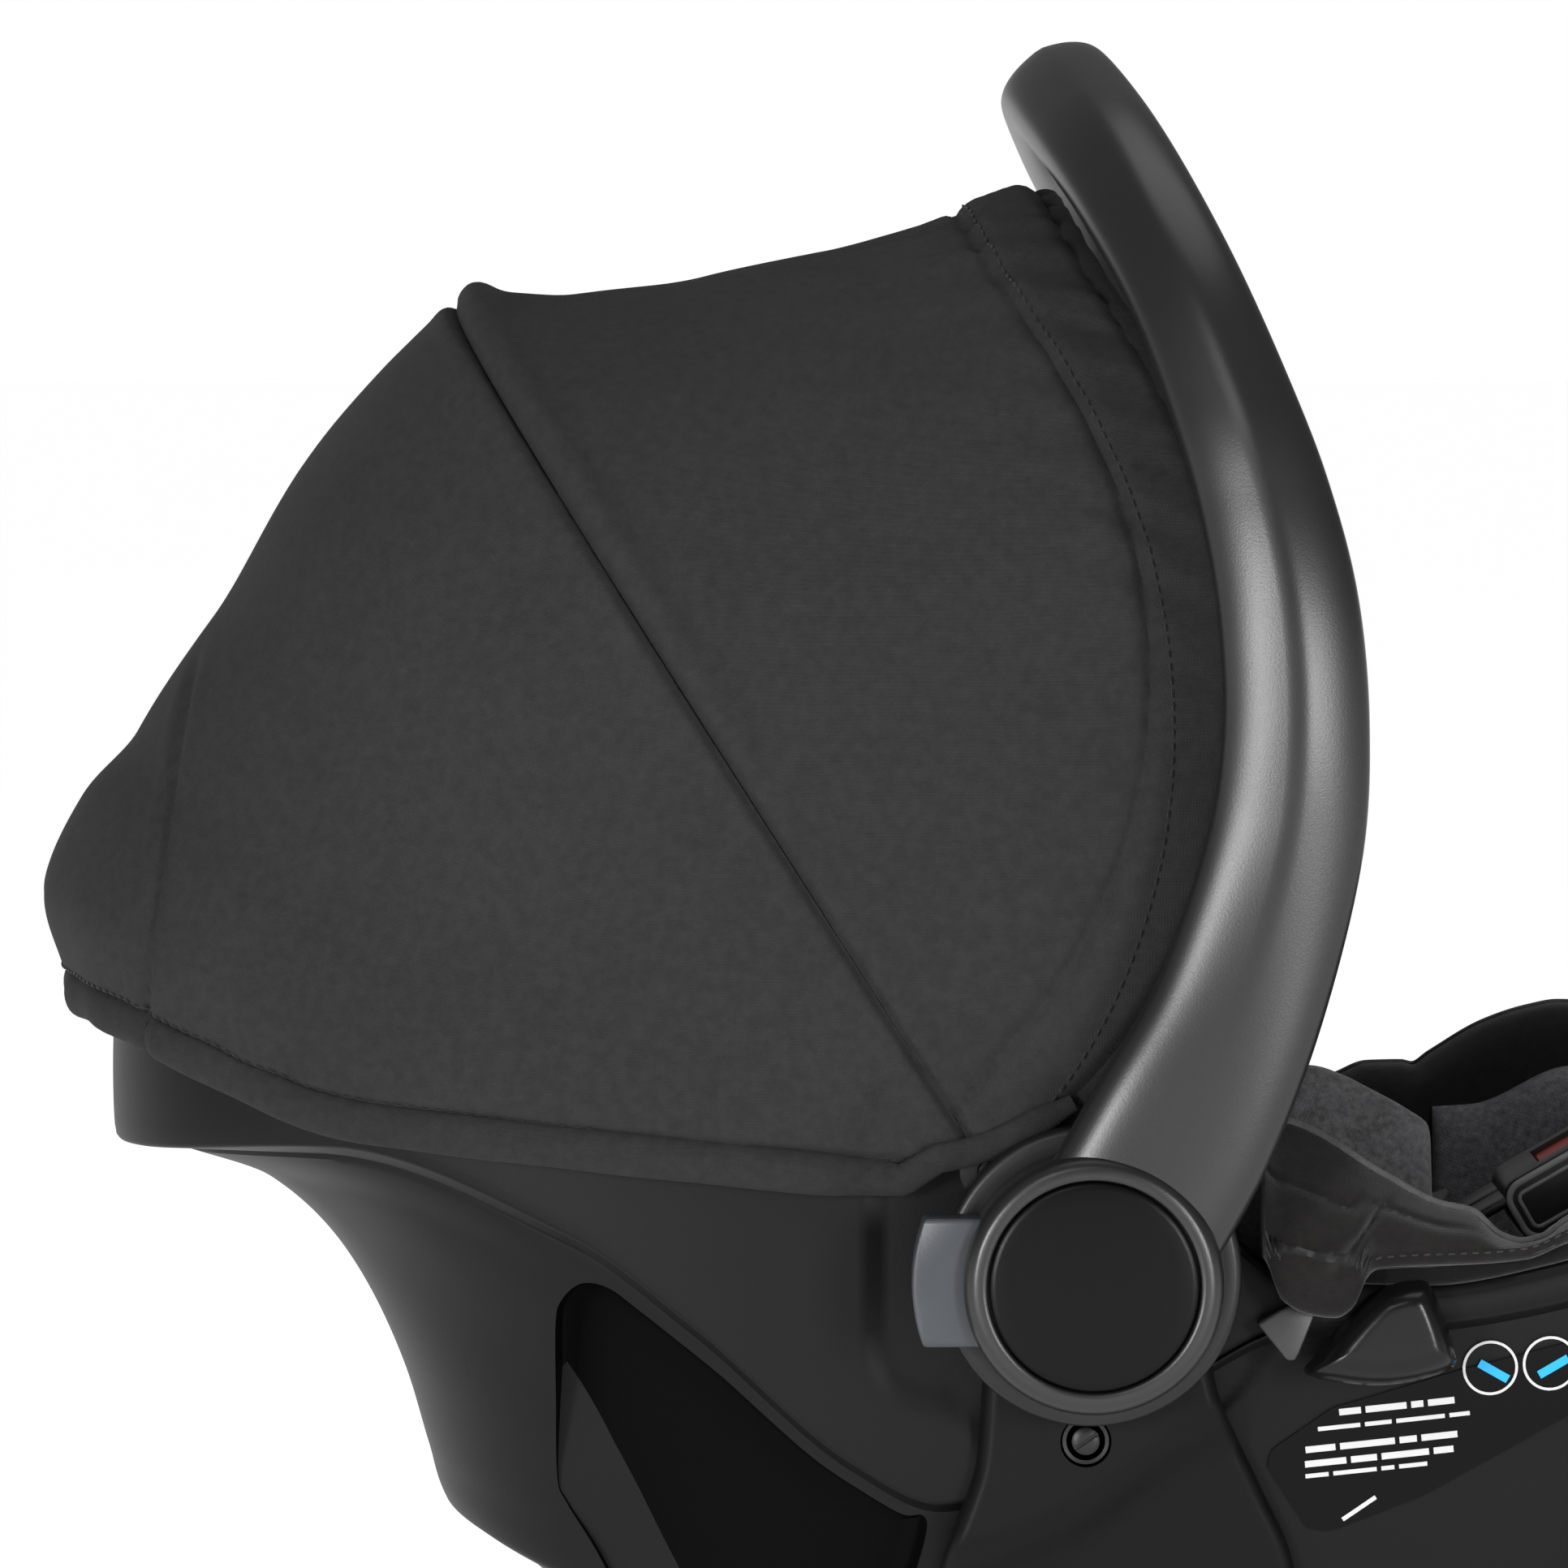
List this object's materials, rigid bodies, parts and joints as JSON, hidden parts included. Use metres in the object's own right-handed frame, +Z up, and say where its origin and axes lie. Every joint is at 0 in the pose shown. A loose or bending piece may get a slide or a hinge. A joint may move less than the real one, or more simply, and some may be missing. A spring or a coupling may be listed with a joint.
{
  "type": "infant car seat",
  "caption": "Infant car seat: rocker-footed carrier shell with a turning carry handle, folding canopy on sprung bows, padded liner and buckled harness.",
  "frame": {"origin": "on the floor under the middle of the overall box, midway between the two sides", "axes": "+X towards the foot end, +Y towards the child's left side, +Z up"},
  "size_m": [0.6636, 0.445, 0.5939],
  "materials": {
    "shell_plastic": "fine grain",
    "handle_plastic": "satin",
    "trim_plastic": "satin",
    "button_plastic": "satin",
    "release_red": "satin",
    "canopy_fabric": "plain weave",
    "black_fabric": "brushed knit",
    "grey_fabric": "heather jersey",
    "webbing": "woven strap",
    "foam": "moulded foam",
    "panel_black": "smooth film",
    "steel": "plated"
  },
  "bodies": {
    "carrier": {"adjuster_body": "trim_plastic", "adjuster_strap": "webbing", "belt_guide_left": "trim_plastic", "belt_guide_right": "trim_plastic", "belt_panel_left": "panel_black", "belt_panel_right": "panel_black", "body_insert": "grey_fabric", "buckle_body": "trim_plastic", "buckle_tongue_left": "steel", "buckle_tongue_right": "steel", "canopy_bracket_left": "trim_plastic", "canopy_bracket_right": "trim_plastic", "canopy_rear_panel": "canopy_fabric", "carrier_shell": "shell_plastic", "cover_clip_left": "trim_plastic", "cover_clip_right": "trim_plastic", "crotch_strap": "webbing", "foam_liner": "foam", "head_bolster_left": "black_fabric", "head_bolster_right": "black_fabric", "lap_strap_left": "webbing", "lap_strap_right": "webbing", "pivot_bolt_left": "steel", "pivot_bolt_right": "steel", "pivot_housing_left": "trim_plastic", "pivot_housing_right": "trim_plastic", "push_rivet_left": "trim_plastic", "push_rivet_right": "trim_plastic", "rim_cover": "black_fabric", "seat_pad": "black_fabric", "shoulder_strap_left": "webbing", "shoulder_strap_right": "webbing", "side_bolster_left": "grey_fabric", "side_bolster_right": "grey_fabric", "side_pillar_left": "shell_plastic", "side_pillar_right": "shell_plastic"},
    "handle": {"handle_bail": "handle_plastic", "hub_badge_left": "trim_plastic", "hub_badge_right": "trim_plastic"},
    "handle_button_left": {"handle_button_left": "button_plastic"},
    "handle_button_right": {"handle_button_right": "button_plastic"},
    "canopy_mid": {"middle_bow": "trim_plastic", "canopy_front_panel": "canopy_fabric"},
    "canopy_front": {"front_bow": "trim_plastic"},
    "buckle_button": {"buckle_button": "release_red"},
    "adjuster_button": {"adjuster_button": "button_plastic"},
    "chest_clip": {"chest_clip_left": "trim_plastic", "chest_clip_right": "trim_plastic"},
    "base_release": {"base_release_lever": "button_plastic"},
    "base_hook_left": {"base_hook_left": "steel"},
    "base_hook_right": {"base_hook_right": "steel"}
  },
  "joints": [
    {"name": "handle_turn", "type": "hinge", "parent": "carrier", "child": "handle", "pos_m": [-0.011, 0, 0.225], "axis": [0, 1, 0], "range_deg": [-120, 0], "deforming": ["middle_bow"]},
    {"name": "handle_button_left_press", "type": "slide", "parent": "handle", "child": "handle_button_left", "axis": [1, 0, 0], "range_m": [0, 0.006], "stiffness_N_per_m": 400},
    {"name": "handle_button_right_press", "type": "slide", "parent": "handle", "child": "handle_button_right", "axis": [1, 0, 0], "range_m": [0, 0.006], "stiffness_N_per_m": 400},
    {"name": "canopy_mid_fold", "type": "hinge", "parent": "carrier", "child": "canopy_mid", "pos_m": [-0.041, 0, 0.255], "axis": [0, 1, 0], "range_deg": [-25, 0], "deforming": ["canopy_rear_panel"]},
    {"name": "canopy_front_fold", "type": "hinge", "parent": "canopy_mid", "child": "canopy_front", "pos_m": [-0.041, 0, 0.255], "axis": [0, 1, 0], "range_deg": [-20, 0], "deforming": ["canopy_front_panel"]},
    {"name": "buckle_press", "type": "slide", "parent": "carrier", "child": "buckle_button", "axis": [0.5, 0, -0.866], "range_m": [0, 0.003], "stiffness_N_per_m": 800},
    {"name": "adjuster_press", "type": "slide", "parent": "carrier", "child": "adjuster_button", "axis": [0.6691, 0, -0.7431], "range_m": [0, 0.003], "stiffness_N_per_m": 800},
    {"name": "chest_clip_slide", "type": "slide", "parent": "carrier", "child": "chest_clip", "axis": [0.9611, 0, -0.2764], "range_m": [-0.012, 0.012]},
    {"name": "base_release_pull", "type": "slide", "parent": "carrier", "child": "base_release", "axis": [-0.4472, 0, 0.8944], "range_m": [0, 0.006], "stiffness_N_per_m": 400},
    {"name": "base_hook_left_draw", "type": "slide", "parent": "carrier", "child": "base_hook_left", "axis": [1, 0, 0], "range_m": [0, 0.006]},
    {"name": "base_hook_right_draw", "type": "slide", "parent": "carrier", "child": "base_hook_right", "axis": [1, 0, 0], "range_m": [0, 0.006]}
  ],
  "couplings": [
    {"joint": "base_hook_left_draw", "follows": "base_release_pull", "ratio": 1},
    {"joint": "base_hook_right_draw", "follows": "base_release_pull", "ratio": 1}
  ]
}
